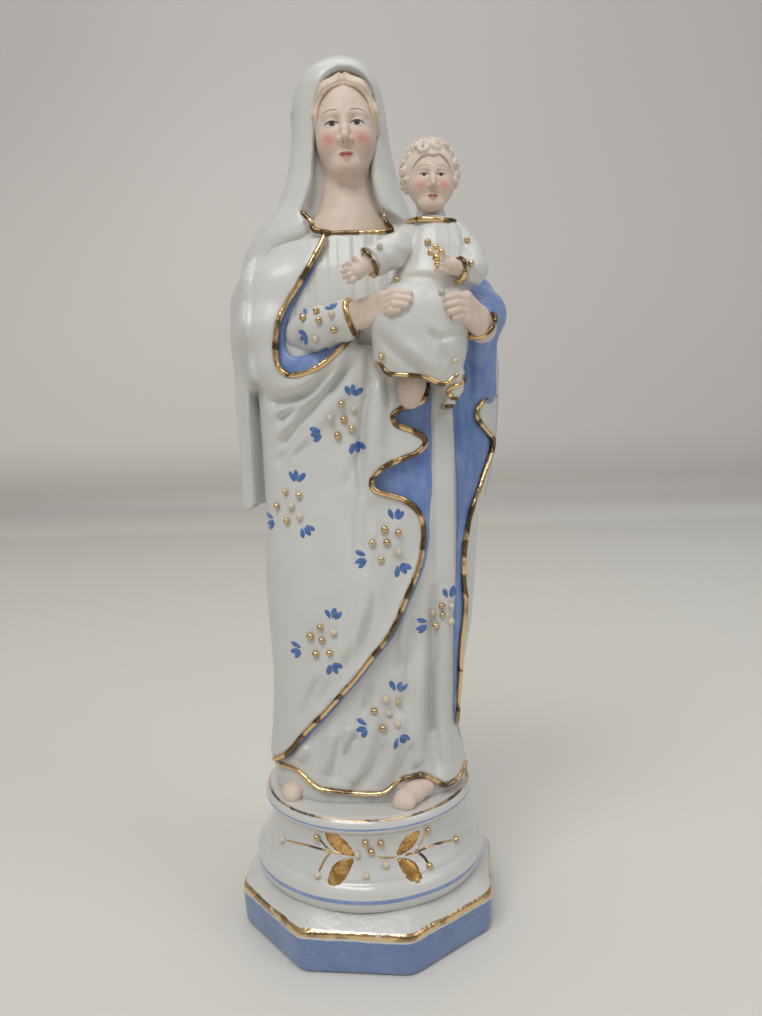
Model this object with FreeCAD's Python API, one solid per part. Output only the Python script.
"""Porcelain Madonna and child on a round plinth and an octagonal foot.

The figure is slip-cast porcelain: hollow castings luted together before firing. Solid hands, feet and
heads are pressed in small moulds. Raised edgings carry the gilding, and drops of raised enamel are applied.
Millimetres, +Z up, the figure faces -Y, and the origin is the centre of the foot's resting face.
"""

import FreeCAD, Part
import os
from math import acos, cos, degrees, exp, pi, radians, sin, sqrt

Vector = FreeCAD.Vector

# ---- driving dimensions --------------------------------------------------------------------------
WALL = 3.5                    # thickness of a slip-cast wall

FOOT_RADIUS = 53.0            # octagon, centre to corner
FOOT_TURN = -6.0              # the octagon sits a little askew under the figure, in degrees
FOOT_EDGE = 15.4              # height of the gilded edge
FOOT_TOP = 21.5
FOOT_DRAFT = 1.0              # the resting outline is this much smaller than the edge
VENT_RADIUS = 4.0             # firing vent through the floor, set off centre
VENT_SHIFT = 18.0

PLINTH_TORUS = 46.0           # radius of the bulge at the plinth's base
PLINTH_TORUS_Z = 25.8
PLINTH_STEP = 30.5            # crease above the bulge
PLINTH_WAIST = 39.0
PLINTH_WAIST_Z = 41.5
PLINTH_LIP = 41.7
PLINTH_LIP_Z = 49.6
PLINTH_TOP = 53.0

MANTLE_COAT = 2.8             # the mantle stands this far off the gown
LINING_COAT = 1.6
EDGING_RADIUS = 1.0           # raised edging under the gold
BEAD_RADIUS = 1.35

# The draped body: height, then its left, right, front and back extremes.
BODY = [
    (53.0, -37.0, 35.5, -28.0, 24.0),
    (75.0, -36.2, 34.5, -27.0, 23.0),
    (100.0, -35.5, 35.5, -26.5, 23.0),
    (125.0, -35.5, 39.5, -27.0, 23.5),
    (150.0, -35.0, 42.5, -27.0, 24.0),
    (175.0, -35.0, 47.0, -27.0, 25.0),
    (200.0, -35.5, 51.0, -26.0, 25.0),
    (220.0, -36.5, 50.5, -25.0, 25.0),
    (236.0, -36.0, 45.0, -24.0, 24.0),
    (250.0, -33.0, 37.0, -22.0, 21.0),
    (262.0, -25.0, 27.0, -18.0, 17.0),
    (268.0, -17.0, 18.0, -14.0, 15.0),
]
CHILD_ROBE = [
    (206.5, 8.0, 37.0, -43.0, -20.0),
    (215.0, 6.5, 40.0, -47.0, -18.0),
    (230.0, 8.5, 41.0, -47.0, -16.0),
    (242.0, 13.0, 42.0, -44.0, -15.0),
    (252.0, 16.0, 42.5, -41.0, -16.0),
    (259.0, 19.0, 40.0, -38.0, -18.0),
    (262.5, 23.0, 35.0, -35.0, -22.0),
]
VEIL_OUTER = [
    (252.0, -44.0, 31.0, -12.0, 30.0),
    (262.0, -41.0, 28.0, -14.0, 27.0),
    (270.0, -35.0, 25.5, -14.0, 25.0),
    (280.0, -28.0, 21.0, -13.0, 23.0),
    (292.0, -24.5, 17.5, -12.5, 22.5),
    (305.0, -22.5, 15.3, -13.0, 22.0),
    (316.0, -20.0, 13.5, -14.0, 19.0),
    (324.0, -15.5, 10.5, -14.0, 14.0),
    (328.5, -9.5, 6.5, -12.0, 8.0),
    (330.0, -3.5, 1.5, -9.0, 0.0),
]
VEIL_OPENING = [              # the space for the face, open at the front
    (262.0, -19.0, 13.0),
    (271.0, -17.0, 11.5),
    (280.0, -14.0, 9.0),
    (293.0, -12.3, 9.8),
    (307.0, -11.3, 11.0),
    (315.0, -8.6, 9.4),
    (321.5, -1.0, 1.5),
]

# Edges of the drapery, as seen from the front: (x, z).
MANTLE_EDGE = [
    (26.5, 208.0), (24.0, 200.5), (17.0, 198.7), (13.4, 195.0), (17.0, 191.7), (24.0, 188.0), (23.0, 183.2),
    (14.0, 180.0), (6.0, 174.5), (7.5, 169.0), (16.5, 166.2), (23.0, 158.5), (23.0, 148.0), (18.5, 134.5),
    (11.5, 119.0), (1.0, 106.5), (-14.0, 90.0), (-25.0, 78.5), (-33.0, 72.0),
]
LEFT_EDGE = [
    (53.0, 202.5), (47.5, 200.5), (45.0, 195.5), (48.0, 190.0), (51.5, 185.0), (48.0, 174.5), (43.0, 162.5),
    (40.0, 151.5), (38.8, 137.0), (39.5, 122.0), (37.0, 109.0), (35.8, 95.0), (34.8, 78.0),
]
ARM_EDGE = [
    (-9.0, 259.5), (-15.5, 249.0), (-23.5, 237.0), (-27.8, 226.0), (-27.0, 215.0), (-21.0, 211.5),
    (-12.0, 214.0), (-1.0, 222.5),
]
HEM_EDGE = [
    (-33.0, 69.5), (-27.5, 69.5), (-22.0, 63.5), (-14.0, 58.8), (-3.0, 57.0), (6.0, 56.5), (12.0, 60.5),
    (19.5, 63.7), (25.0, 61.5), (29.0, 59.0), (33.5, 63.0),
]

# Ridges of the drapery: height, width and the line each follows, seen from the front.
MANTLE_FOLDS = [
    (2.2, 3.0, [(5.0, 222.0), (4.5, 200.0), (3.0, 180.0), (6.0, 166.0)]),
    (1.6, 3.4, [(-36.0, 205.0), (-24.0, 190.0), (-10.0, 186.0), (3.0, 205.0)]),
    (1.4, 3.2, [(-36.0, 222.0), (-25.0, 204.0), (-12.0, 201.0), (0.0, 214.0)]),
    (1.6, 3.6, [(-35.0, 190.0), (-20.0, 172.0), (-6.0, 168.0), (4.0, 185.0)]),
    (1.2, 4.0, [(22.0, 160.0), (12.0, 138.0), (-8.0, 112.0), (-28.0, 90.0)]),
    (1.1, 4.5, [(8.0, 160.0), (-4.0, 140.0), (-20.0, 118.0), (-33.0, 100.0)]),
    (1.0, 5.0, [(-8.0, 160.0), (-20.0, 140.0), (-34.0, 122.0)]),
]
GOWN_FOLDS = [
    (1.7, 1.6, [(-26.0, 86.0), (-30.0, 62.0)]),
    (2.0, 1.8, [(-16.0, 96.0), (-21.0, 58.0)]),
    (1.6, 1.8, [(-6.0, 100.0), (-11.0, 56.0)]),
    (1.8, 1.9, [(3.0, 110.0), (-1.0, 56.0)]),
    (1.5, 1.8, [(10.0, 100.0), (9.0, 57.0)]),
    (2.0, 2.0, [(24.5, 104.0), (26.0, 58.0)]),
    (1.6, 1.8, [(31.5, 104.0), (32.0, 60.0)]),
]

# Raised enamel sprigs: centre on the surface as seen from the front.
MANTLE_SPRIGS = [(-4.0, 195.0), (-24.5, 164.5), (10.3, 150.7), (-14.4, 115.3)]
GOWN_SPRIGS = [(9.0, 86.8), (32.0, 122.4)]
SPRIG_DROPS = [(0.0, 0.0), (-1.0, 4.9), (4.0, 3.2), (-4.8, 0.5), (3.0, -3.8), (-2.2, -5.6)]
ROBE_DROPS = [
    (26.5, 252.3), (39.0, 253.0), (16.1, 240.3), (30.1, 234.9), (10.6, 215.4), (34.3, 213.2),
]
PLINTH_DROPS = [              # degrees round the plinth from the front, height
    (-44.0, 47.5), (-25.5, 47.0), (-25.5, 35.5), (-0.5, 45.0), (7.0, 44.5), (-5.0, 40.5), (2.0, 41.0),
    (9.5, 36.8), (-1.0, 34.5), (34.0, 48.0), (51.0, 46.0), (33.0, 37.5),
]
SLEEVE_DROPS = [(-12.5, 232.5), (-6.5, 231.5), (-15.8, 229.5), (-10.5, 228.6), (-5.5, 225.8), (-12.5, 222.8)]

RIGHT_SLEEVE = [(-27.0, -11.0, 232.0), (-25.0, -20.0, 225.0), (-15.0, -28.0, 225.0), (-1.5, -33.5, 229.0)]
SLEEVE_RADIUS = 8.0

parts = {}
cores = {}                    # hollow sub-parts, filled, to cut their neighbours with


# ---- shapes --------------------------------------------------------------------------------------
def profile(stations, z):
    """The stations' values at height z, on a smooth curve through them."""
    if z <= stations[0][0]:
        return stations[0][1:]
    if z >= stations[-1][0]:
        return stations[-1][1:]
    i = max(k for k in range(len(stations) - 1) if stations[k][0] <= z)
    before = stations[max(i - 1, 0)]
    low, high = stations[i], stations[i + 1]
    after = stations[min(i + 2, len(stations) - 1)]
    span = high[0] - low[0]
    t = (z - low[0]) / span
    out = []
    for c in range(1, len(low)):
        slope_low = (high[c] - before[c]) / (high[0] - before[0]) * span
        slope_high = (after[c] - low[c]) / (after[0] - low[0]) * span
        out.append(
            low[c] * (2 * t ** 3 - 3 * t ** 2 + 1)
            + slope_low * (t ** 3 - 2 * t ** 2 + t)
            + high[c] * (3 * t ** 2 - 2 * t ** 3)
            + slope_high * (t ** 3 - t ** 2)
        )
    return out


def on_body(stations, x, z, coat=0.0):
    """The point at (x, z) on the front of a draped form."""
    left, right, front, back = profile(stations, z)
    middle = (left + right) / 2
    half = (right - left) / 2 + coat
    across = max(-0.999, min(0.999, (x - middle) / half))
    depth = (back - front) / 2 + coat
    return Vector(x, (front + back) / 2 - depth * sqrt(1 - across ** 2), z)


def oval(z, left, right, front, back, coat=0.0):
    """A smooth closed outline at height z, through the four extremes."""
    middle = Vector((left + right) / 2, (front + back) / 2, z)
    half_width = (right - left) / 2 + coat
    half_depth = (back - front) / 2 + coat
    count = 24
    ring = [
        middle + Vector(half_width * cos(2 * pi * k / count), half_depth * sin(2 * pi * k / count), 0)
        for k in range(count)
    ]
    curve = Part.BSplineCurve()
    curve.interpolate(Points=ring, PeriodicFlag=True)
    return Part.Wire([curve.toShape()])


def draped(stations, low, high, coat=0.0, step=9.0):
    """A solid with the stations' outlines between two heights."""
    count = max(2, round((high - low) / step))
    heights = [low + (high - low) * k / count for k in range(count + 1)]
    return Part.makeLoft([oval(z, *profile(stations, z), coat=coat) for z in heights], True, False)


def around(stations, turn, z, coat):
    """The point at an angle round a draped form: 0 its left side, 90 front, 180 right, 270 back."""
    left, right, front, back = profile(stations, z)
    half_width = (right - left) / 2 + coat
    half_depth = (back - front) / 2 + coat
    return Vector(
        (left + right) / 2 - half_width * cos(radians(turn)),
        (front + back) / 2 - half_depth * sin(radians(turn)),
        z,
    )


def turn_at(stations, x, z, coat):
    """The angle round the front of a draped form at which it reaches x."""
    left, right = profile(stations, z)[:2]
    across = ((left + right) / 2 - x) / ((right - left) / 2 + coat)
    return degrees(acos(max(-0.999, min(0.999, across))))


def edge_x(edge, z):
    """Where a drapery edge lies at height z; its points run downwards."""
    return profile([(h, x) for x, h in reversed(edge)], z)[0]


def relief(folds, point):
    """How far the folds raise the cloth at a point. Each fold is a ridge line on the front or the back."""
    height = 0.0
    for amount, width, line in folds:
        nearest = 1e9
        for (x0, z0), (x1, z1) in zip(line, line[1:]):
            dx = x1 - x0
            dz = z1 - z0
            along = ((point.x - x0) * dx + (point.z - z0) * dz) / (dx ** 2 + dz ** 2)
            along = max(0.0, min(1.0, along))
            gap = sqrt((point.x - x0 - along * dx) ** 2 + (point.z - z0 - along * dz) ** 2)
            nearest = min(nearest, gap)
        height += amount * exp(-(nearest / width) ** 2)
    return height


def spread(turns, s):
    """The angle at s from 0 to 1 across a plate whose columns run evenly between the given angles."""
    at = s * (len(turns) - 1)
    i = min(int(at), len(turns) - 2)
    return turns[i] + (turns[i + 1] - turns[i]) * (at - i)


def plate(stations, span, heights, inner, outer, folds=(), rows=30, columns=16):
    """A curved plate of cloth on a draped form.

    Functions give the angles it spans and its lowest and highest edge.
    """
    outside, inside = [], []
    for r in range(rows + 1):
        outside.append([])
        inside.append([])
        for c in range(columns + 1):
            low, high = heights(c / columns)
            z = low + (high - low) * r / rows
            turn = spread(span(z), c / columns)
            flat = around(stations, turn, z, outer(turn, z))
            lift = relief(folds, flat)
            outside[-1].append(around(stations, turn, z, outer(turn, z) + lift))
            inside[-1].append(around(stations, turn, z, inner))
    skins = []
    for grid in (outside, inside):
        skin = Part.BSplineSurface()
        skin.interpolate(grid)
        skins.append(skin)
    faces = [skin.toShape() for skin in skins]
    for pick in ("uIso", "vIso"):
        for at in (0.0, 1.0):
            rims = [getattr(skin, pick)(end_value(skin, pick, at)).toShape() for skin in skins]
            faces.append(Part.makeRuledSurface(*rims))
    shell = Part.Shell(faces)
    shell.sewShape()
    solid = Part.Solid(shell)
    if solid.Volume < 0:
        solid.reverse()
    return solid


def end_value(skin, pick, at):
    """The parameter at the start (0) or end (1) of a surface, across its rows or its columns."""
    u0, u1, v0, v1 = skin.bounds()
    low, high = (u0, u1) if pick == "uIso" else (v0, v1)
    return high if at else low


def ellipsoid(centre, rx, ry, rz):
    stretch = FreeCAD.Matrix()
    stretch.scale(rx, ry, rz)
    shape = Part.makeSphere(1.0).transformGeometry(stretch)
    shape.translate(Vector(*centre))
    return shape


def limb(points, radii):
    """A tapered round arm, finger or strap through the points."""
    points = [Vector(*p) for p in points]
    rings = []
    for i, p in enumerate(points):
        along = points[min(i + 1, len(points) - 1)] - points[max(i - 1, 0)]
        rings.append(Part.Wire([Part.makeCircle(radii[i], p, along)]))
    return Part.makeLoft(rings, True, False)


def finger(points, radius):
    """A round finger that tapers to its tip."""
    tip = Vector(*points[-1])
    run = (tip - Vector(*points[-2])).normalize() * radius
    points = list(points) + [tuple(tip + run * 0.6), tuple(tip + run * 0.95)]
    radii = [radius] * (len(points) - 2) + [radius * 0.8, radius * 0.35]
    return limb(points, radii)


def joined(first, *others):
    """The union of two or more shapes."""
    return first.fuse(list(others))


def edging(points, radius=EDGING_RADIUS):
    """A raised round edging along surface points, with rounded ends."""
    curve = Part.BSplineCurve()
    curve.interpolate(points)
    path = Part.Wire([curve.toShape()])
    ring = Part.Wire([Part.makeCircle(radius, points[0], curve.tangent(curve.FirstParameter)[0])])
    return path.makePipeShell([ring], True, True)


def drops(points, radius=BEAD_RADIUS):
    return Part.makeCompound([Part.makeSphere(radius, p) for p in points])


def keep(name, shape, carve=()):
    """Files a sub-part, cut clear of the sub-parts that it is luted against, without stray slivers."""
    for other in carve:
        shape = shape.cut(cores.get(other, parts.get(other)))
    largest = max(s.Volume for s in shape.Solids)
    found = [s for s in shape.Solids if s.Volume > 0.3 * largest]
    parts[name] = found[0] if len(found) == 1 else Part.makeCompound(found)


# ---- foot and plinth -----------------------------------------------------------------------------
def octagon(radius, z):
    ring = [
        Vector(
            radius * sin(radians(22.5 + 45 * k + FOOT_TURN)),
            -radius * cos(radians(22.5 + 45 * k + FOOT_TURN)),
            z,
        )
        for k in range(8)
    ]
    return Part.makePolygon(ring + [ring[0]])


def build_foot():
    shelf = PLINTH_TORUS - 1.5
    resting = octagon(FOOT_RADIUS - FOOT_DRAFT, 0)
    outside = Part.makeLoft([resting, octagon(FOOT_RADIUS, FOOT_EDGE)], True, True)
    slope = Part.makeLoft([octagon(FOOT_RADIUS, FOOT_EDGE), octagon(shelf, FOOT_TOP)], True, True)
    hollow = Part.makeLoft(
        [
            octagon(FOOT_RADIUS - FOOT_DRAFT - WALL, WALL),
            octagon(FOOT_RADIUS - WALL - 1, FOOT_EDGE - WALL / 2),
        ],
        True, True,
    )
    well = Part.makeCylinder(shelf - 2 * WALL, FOOT_TOP, Vector(0, 0, FOOT_EDGE - WALL))
    vent = Part.makeCylinder(VENT_RADIUS, 2 * WALL, Vector(0, VENT_SHIFT, -WALL / 2))
    keep("octagonal_foot", joined(outside, slope).cut(hollow).cut(well).cut(vent))


def build_plinth():
    torus = PLINTH_TORUS
    step = PLINTH_TORUS - 2.5
    waist = PLINTH_WAIST
    lip = PLINTH_LIP
    top_flat = lip - 2.2
    bulge = Part.Arc(
        Vector(torus - 1.5, 0, FOOT_TOP), Vector(torus, 0, PLINTH_TORUS_Z), Vector(step, 0, PLINTH_STEP)
    )
    hollow_band = Part.Arc(
        Vector(step, 0, PLINTH_STEP),
        Vector(waist + 0.9, 0, (PLINTH_STEP + PLINTH_WAIST_Z) / 2 + 1.0),
        Vector(lip - 1.6, 0, PLINTH_LIP_Z - 3.0),
    )
    lip_arc = Part.Arc(
        Vector(lip - 1.6, 0, PLINTH_LIP_Z - 3.0),
        Vector(lip, 0, PLINTH_LIP_Z),
        Vector(top_flat, 0, PLINTH_TOP),
    )
    edges = [
        Part.makeLine(Vector(0, 0, FOOT_TOP), Vector(torus - 1.5, 0, FOOT_TOP)),
        bulge.toShape(),
        hollow_band.toShape(),
        lip_arc.toShape(),
        Part.makeLine(Vector(top_flat, 0, PLINTH_TOP), Vector(0, 0, PLINTH_TOP)),
        Part.makeLine(Vector(0, 0, PLINTH_TOP), Vector(0, 0, FOOT_TOP)),
    ]
    outside = Part.Face(Part.Wire(edges)).revolve(Vector(0, 0, 0), Vector(0, 0, 1), 360)
    outside = Part.Solid(outside.Shells[0]) if not outside.Solids else outside
    depth = PLINTH_TOP - WALL - FOOT_TOP
    inside = Part.makeCone(torus - 2 * WALL, waist - WALL, depth, Vector(0, 0, FOOT_TOP))
    keep("round_plinth", outside.cut(inside))


# ---- mother --------------------------------------------------------------------------------------
def build_gown():
    cores["gown"] = draped(BODY, PLINTH_TOP, 267.0)
    cores["dress"] = draped(BODY, PLINTH_TOP, 260.0, coat=MANTLE_COAT)
    skirt = plate(
        BODY, lambda z: (8.0, 172.0), lambda s: (PLINTH_TOP + hem_lift(s), 100.0),
        -0.5, lambda turn, z: 0.8, GOWN_FOLDS, rows=14, columns=48,
    )
    inside = draped(BODY, PLINTH_TOP - 1, 250.0, coat=-WALL)
    strip = plate(
        BODY, lambda z: (turn_at(BODY, 27.0, z, 0), turn_at(BODY, 35.5, z, 0)), lambda s: (96.0, 206.0),
        -0.5, lambda turn, z: 2.2 + 0.3 * sin(z / 9.0), rows=16, columns=6,
    )
    keep("gown", cores["gown"].cut(inside))
    keep("gown_hem_folds", skirt, carve=["gown"])
    keep("gown_raised_fold", strip, carve=["gown"])


def hem_lift(s):
    """The hem rises over the toes; s runs across the skirt from 0 to 1."""
    return 3.0 + 8.5 * exp(-((s - 0.08) / 0.16) ** 2) + 6.0 * exp(-((s - 0.72) / 0.1) ** 2) + 5.0 * s ** 6


def build_mantle():
    def front_span(z):
        edge = edge_x(MANTLE_EDGE, z)
        steady = min(edge - 4.0, 2.0 + 0.06 * (z - 180.0))
        far, near = (turn_at(BODY, x, z, MANTLE_COAT) for x in (steady, edge))
        return 0.0, far / 2, far, near

    def front_heights(s):
        top = 212.0 + 22.0 * (1 - s) ** 4 + 7.0 * exp(-((s - 0.8) / 0.12) ** 2) - 4.0 * s ** 6
        return 72.5 - 14.0 * (1 - s) ** 3, top

    front = plate(
        BODY, front_span, front_heights, LINING_COAT, lambda turn, z: MANTLE_COAT, MANTLE_FOLDS,
        rows=60, columns=24,
    )
    keep("mantle_front", front)
    back = plate(
        BODY, lambda z: (-180.0 + 2.0, 0.0), lambda s: (57.0, 256.0), 0.0,
        lambda turn, z: MANTLE_COAT + 0.8 * sin(radians(7 * turn)) * min(1.0, (262.0 - z) / 60.0) ** 2,
        rows=24, columns=36,
    )
    keep("mantle_back", back)
    left = plate(
        BODY, lambda z: (turn_at(BODY, edge_x(LEFT_EDGE, z), z, MANTLE_COAT), 180.0), lambda s: (60.0, 202.0),
        LINING_COAT, lambda turn, z: MANTLE_COAT, rows=36, columns=8,
    )
    keep("mantle_left_fall", left)
    shoulder = plate(
        BODY,
        lambda z: (0.0, turn_at(BODY, edge_x(ARM_EDGE[:5], z), z, MANTLE_COAT)),
        lambda s: (236.0, 259.5),
        0.0, lambda turn, z: MANTLE_COAT, rows=12, columns=12,
    )
    keep("mantle_shoulder", shoulder)


def build_linings():
    def front_span(z):
        edge = edge_x(MANTLE_EDGE, z)
        reach = 27.0 if z > 150 else edge + 2.6
        return turn_at(BODY, min(edge, reach) - 7.0, z, 0), turn_at(BODY, reach, z, 0)

    front = plate(
        BODY, front_span, lambda s: (80.0, 206.0), 0.0, lambda turn, z: LINING_COAT, rows=36, columns=6,
    )
    keep("mantle_front_lining", front)
    left = plate(
        BODY,
        lambda z: (turn_at(BODY, min(36.0, profile(BODY, z)[1] - 1.5), z, 0), 172.0),
        lambda s: (80.0, 226.0),
        0.0, lambda turn, z: LINING_COAT, rows=24, columns=6,
    )
    keep("mantle_left_lining", left)


def build_sleeves_and_arms():
    sleeve = limb(RIGHT_SLEEVE, [8.0, 8.6, SLEEVE_RADIUS, 6.6])
    keep("right_sleeve", sleeve, carve=["gown"])
    wrap = limb([(-24, -3, 259), (-29, -6, 247), (-31, -9, 234), (-29, -11, 219)], [9.0, 12.0, 13.0, 11.0])
    keep("mantle_arm_wrap", wrap, carve=["dress", "right_sleeve"])
    left = limb([(43, -8, 243), (47, -18, 234), (46, -29, 228), (42.5, -36, 228)], [7.0, 7.2, 6.8, 6.0])
    keep("left_sleeve", left, carve=["dress"])
    keep("right_cuff", limb([(-1.5, -33.5, 229.0), (1.2, -34.6, 229.9)], [7.6, 7.2]), carve=["right_sleeve"])
    keep("left_cuff", limb([(42.5, -36, 228.0), (41.0, -38.6, 229.0)], [6.8, 6.4]), carve=["left_sleeve"])


def build_hands():
    palm = limb(
        [(1.0, -34.6, 230.0), (6.0, -38.0, 231.0), (11.0, -43.0, 232.5), (14.0, -46.5, 233.5)],
        [4.4, 4.8, 4.4, 3.4],
    )
    fingers = [
        finger(
            [(12.5, -46.0, 231.0 + 1.9 * k), (17.0, -49.0, 231.6 + 2.0 * k), (21.0, -49.5, 231.8 + 2.1 * k)],
            1.5,
        )
        for k in range(4)
    ]
    thumb = finger([(6.0, -39.0, 234.0), (9.5, -42.5, 238.0), (13.0, -45.0, 240.0)], 1.6)
    keep("right_hand", joined(palm, *fingers, thumb), carve=["right_cuff", "child_robe", "right_sleeve"])
    palm = limb([(41.5, -38.0, 228.8), (39.5, -43.0, 230.0), (36.5, -46.0, 232.0)], [4.4, 4.6, 3.6])
    fingers = [
        finger(
            [(37.5, -46.0, 228.0 + 2.3 * k), (34.0, -48.0, 229.0 + 2.4 * k), (31.0, -48.5, 229.5 + 2.5 * k)],
            1.4,
        )
        for k in range(4)
    ]
    keep("left_hand", joined(palm, *fingers), carve=["left_cuff", "child_robe", "left_sleeve"])


def build_feet():
    below = Part.makeBox(120, 80, 10, Vector(-60, -60, PLINTH_TOP - 10))
    right = ellipsoid((-25, -21, 57.0), 5.5, 9.5, 4.4).cut(below)
    keep("right_foot", right, carve=["gown", "gown_hem_folds"])
    left = ellipsoid((16, -27, 57.0), 6.2, 9.5, 4.6).cut(below)
    keep("left_foot", left, carve=["gown", "gown_hem_folds"])


def build_head():
    skull = ellipsoid((-0.8, -5.5, 302.5), 11.0, 12.5, 17.0)
    jaw = ellipsoid((-0.8, -9.0, 291.5), 8.2, 8.2, 9.0)
    nose = limb([(-0.8, -17.0, 301.0), (-0.8, -19.6, 297.0)], [0.9, 1.6])
    neck = limb(
        [(-1.5, -5.0, 262), (-1.5, -4.0, 268), (-1.2, -4.5, 277), (-1.0, -5.0, 289)],
        [15.0, 11.5, 8.8, 9.0],
    )
    keep("mother_head", joined(skull, jaw, nose, neck), carve=["gown"])
    cap = ellipsoid((-0.8, -3.5, 304.0), 12.6, 13.5, 17.6)
    face = ellipsoid((-0.8, -17.5, 297.0), 9.8, 10.5, 17.5)
    below = Part.makeBox(60, 60, 60, Vector(-30, -30, 232.0))
    keep("mother_hair", cap.cut(face).cut(below), carve=["mother_head"])


def build_veil():
    outside = draped(VEIL_OUTER, 252.0, 330.0, step=6.0)
    core = Part.makeLoft(
        [
            oval(z, left, right, -22.0, 15.0 if z < 310 else 9.0)
            for z, left, right in [(250.0, -19.5, 13.5)] + VEIL_OPENING
        ],
        True, False,
    )
    veil = outside.cut(core)
    keep("veil", veil, carve=["dress", "mother_head", "mother_hair", "mantle_arm_wrap", "left_sleeve"])
    fall = plate(
        BODY, lambda z: (-168.0, 14.0 - 26.0 / (1.0 + exp((214.0 - z) / 4.0))), lambda s: (162.5, 251.9),
        MANTLE_COAT + 0.9,
        lambda turn, z: MANTLE_COAT + 4.0 + 4.5 * exp(-(turn / 16.0) ** 2),
        rows=18, columns=30,
    )
    keep("veil_fall", fall)


# ---- child ---------------------------------------------------------------------------------------
def build_child():
    keep("child_robe", draped(CHILD_ROBE, 206.5, 262.5, step=7.0),
         carve=["dress", "left_sleeve"])
    head = ellipsoid((28.3, -30.0, 275.8), 9.6, 10.0, 11.4)
    cheeks = ellipsoid((28.3, -33.0, 271.5), 8.2, 7.6, 7.4)
    neck = limb([(28.8, -28.5, 259.0), (28.5, -29.0, 268.0)], [5.6, 5.2])
    keep("child_head", joined(head, cheeks, neck), carve=["child_robe"])
    cap = ellipsoid((28.3, -28.6, 277.2), 10.8, 11.0, 12.4)
    face = ellipsoid((28.3, -42.0, 272.0), 8.6, 10.0, 9.6)
    below = Part.makeBox(60, 60, 60, Vector(0, -60, 207.5))
    keep("child_hair", cap.cut(face).cut(below), carve=["child_head", "veil"])
    keep("child_right_sleeve", limb([(20, -32, 256), (14, -39, 251), (7.6, -43, 247.5)], [5.6, 5.6, 5.0]),
         carve=["child_robe", "gown"])
    keep("child_left_sleeve", limb([(39, -30, 256), (43, -35, 249), (43, -39, 243), (37.5, -43, 240)],
                                   [4.6, 5.4, 5.6, 4.8]), carve=["child_robe"])
    cuff = limb([(7.6, -43, 247.5), (6.2, -43.8, 247.0)], [5.8, 5.4])
    keep("child_right_cuff", cuff, carve=["child_right_sleeve"])
    keep("child_left_cuff", limb([(37.5, -43, 240.0), (36.0, -44.4, 240.0)], [5.6, 5.2]),
         carve=["child_left_sleeve", "child_robe"])
    palm = ellipsoid((2.6, -44.5, 246.0), 4.0, 2.6, 3.4)
    fingers = [
        finger([(1.0, -45.0, 244.0 + 1.6 * k), (-2.2, -46.5, 243.2 + 2.0 * k)], 0.95) for k in range(4)
    ]
    keep("child_right_hand", joined(palm, *fingers), carve=["child_right_cuff", "child_right_sleeve", "gown"])
    palm = ellipsoid((32.5, -46.5, 240.4), 4.0, 3.0, 3.6)
    fingers = [
        finger([(31.0, -48.0, 238.5 + 1.6 * k), (28.4, -49.0, 238.4 + 1.6 * k)], 0.95) for k in range(4)
    ]
    keep("child_left_hand", joined(palm, *fingers), carve=["child_left_cuff", "child_robe"])
    petals = [(26.5, -49.6, 246.0), (29.6, -49.6, 246.5), (28.1, -49.8, 243.3), (28.1, -49.4, 249.0)]
    keep("posy", drops([Vector(*p) for p in petals], 1.4), carve=["child_left_hand"])
    collar = [
        Vector(
            28.8 + 7.4 * cos(radians(a)),
            -28.6 + 7.4 * sin(radians(a)),
            262.4 - 1.0 * cos(radians(a + 90)),
        )
        for a in range(-170, -9, 20)
    ]
    keep("child_collar", edging(collar, 1.1), carve=["child_robe", "child_head"])
    keep("child_foot", ellipsoid((20.5, -33.0, 203.5), 5.6, 5.0, 3.8),
         carve=["dress", "child_robe"])


# ---- edgings and drops ---------------------------------------------------------------------------
def build_edgings():
    def along(edge, coat):
        return [on_body(BODY, x, z, coat) for x, z in edge]

    def down(edge, coat, step=3.5):
        top, bottom = edge[0][1], edge[-1][1]
        count = round((top - bottom) / step)
        heights = [top + (bottom - top) * k / count for k in range(count + 1)]
        return [on_body(BODY, edge_x(edge, z), z, coat) for z in heights]

    keep("mantle_front_edging", edging(down(MANTLE_EDGE, MANTLE_COAT)))
    keep("mantle_left_edging", edging(down(LEFT_EDGE, MANTLE_COAT)))
    keep("gown_hem_edging", edging(along(HEM_EDGE, 1.8)))
    arm = [
        Vector(x, -20.0 - 4.5 * sin(pi * k / (len(ARM_EDGE) - 1)) - 8.0 * (k / (len(ARM_EDGE) - 1)) ** 3, z)
        for k, (x, z) in enumerate(ARM_EDGE)
    ]
    keep("mantle_arm_edging", edging(arm))
    neckline = [
        (-17.0, 271.0), (-12.5, 266.0), (-9.8, 262.8), (-6.0, 262.4),
        (4.0, 262.6), (12.6, 262.6), (11.4, 270.5),
    ]
    runs = [Vector(x, -17.8 + 0.02 * x * x - (z - 262) * -0.25, z) for x, z in neckline]
    keep("neckline_edging", edging(runs, 1.0))
    hem = [(7.5, 212.5), (12.5, 209.5), (20.0, 208.0), (28.0, 206.8), (35.0, 207.0)]
    keep("child_hem_edging", edging([on_body(CHILD_ROBE, x, z, 0.2) for x, z in hem]))


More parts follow.
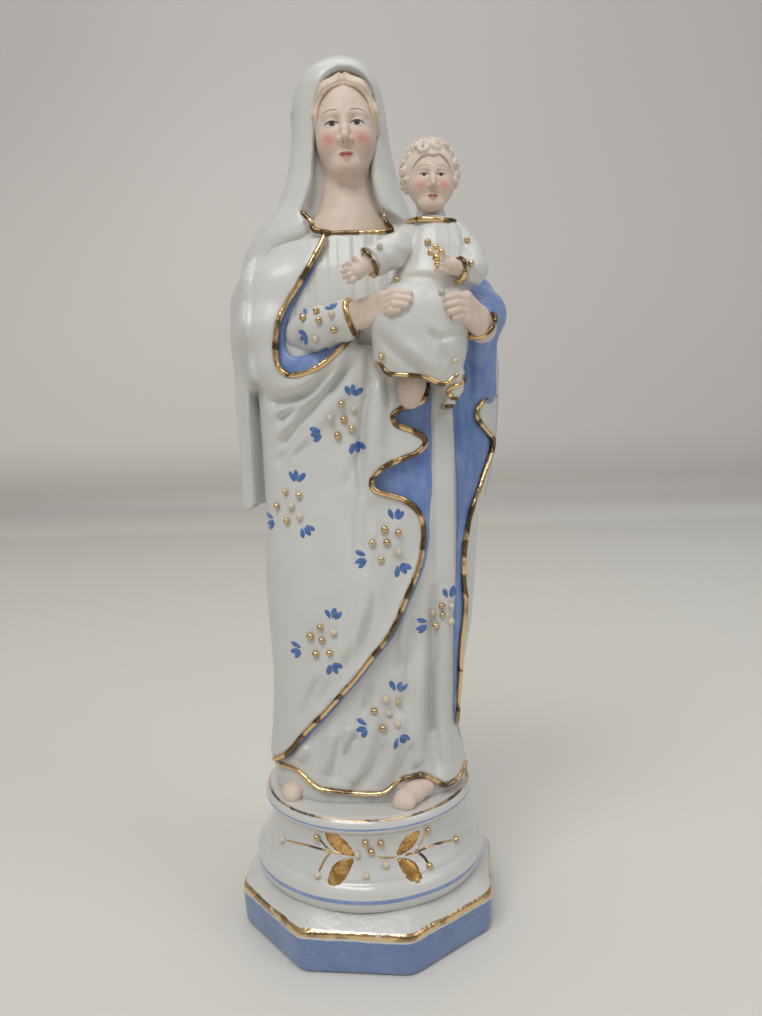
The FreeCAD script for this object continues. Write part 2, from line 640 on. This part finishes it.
def on_mantle(x, z):
    """The point at (x, z) on the front of the mantle, folds included."""
    flat = on_body(BODY, x, z, MANTLE_COAT)
    return on_body(BODY, x, z, MANTLE_COAT + relief(MANTLE_FOLDS, flat))


def on_sleeve(x, z):
    """The point at (x, z) on the front of the right forearm's sleeve."""
    along = (x - RIGHT_SLEEVE[1][0]) / (RIGHT_SLEEVE[-1][0] - RIGHT_SLEEVE[1][0])
    axis_y = RIGHT_SLEEVE[1][1] + along * (RIGHT_SLEEVE[-1][1] - RIGHT_SLEEVE[1][1]) - 1.0
    axis_z = RIGHT_SLEEVE[1][2] + along * (RIGHT_SLEEVE[-1][2] - RIGHT_SLEEVE[1][2]) - 0.6
    return Vector(x, axis_y - sqrt(SLEEVE_RADIUS ** 2 - (z - axis_z) ** 2), z)


def build_drops():
    mantle = [on_mantle(x + dx, z + dz) for x, z in MANTLE_SPRIGS for dx, dz in SPRIG_DROPS]
    keep("mantle_enamel_drops", drops(mantle))
    gown = [on_body(BODY, x + dx * 0.8, z + dz, 2.0) for x, z in GOWN_SPRIGS for dx, dz in SPRIG_DROPS]
    keep("gown_enamel_drops", drops(gown))
    keep("sleeve_enamel_drops", drops([on_sleeve(x, z) for x, z in SLEEVE_DROPS]))
    keep("robe_enamel_drops", drops([on_body(CHILD_ROBE, x, z, 0.2) for x, z in ROBE_DROPS]))
    rim = []
    for turn, z in PLINTH_DROPS:
        across = (z - PLINTH_STEP) / (PLINTH_WAIST_Z - PLINTH_STEP)
        radius = PLINTH_TORUS - 2.5 - (PLINTH_TORUS - 2.5 - PLINTH_WAIST - 0.5) * min(1.0, across) ** 0.7
        rim.append(Vector(radius * sin(radians(turn)), -radius * cos(radians(turn)), z))
    keep("plinth_enamel_drops", drops(rim))


def main():
    build_foot()
    build_plinth()
    build_gown()
    build_mantle()
    build_linings()
    build_sleeves_and_arms()
    build_feet()
    build_head()
    build_veil()
    build_child()
    build_hands()
    build_edgings()
    build_drops()
    os.makedirs("parts", exist_ok=True)
    for name, shape in parts.items():
        assert shape.isValid(), name
        print(f"{name:24s} solids {len(shape.Solids):2d}  volume {shape.Volume:9.1f}")
        shape.exportStep(f"parts/{name}.step")


main()
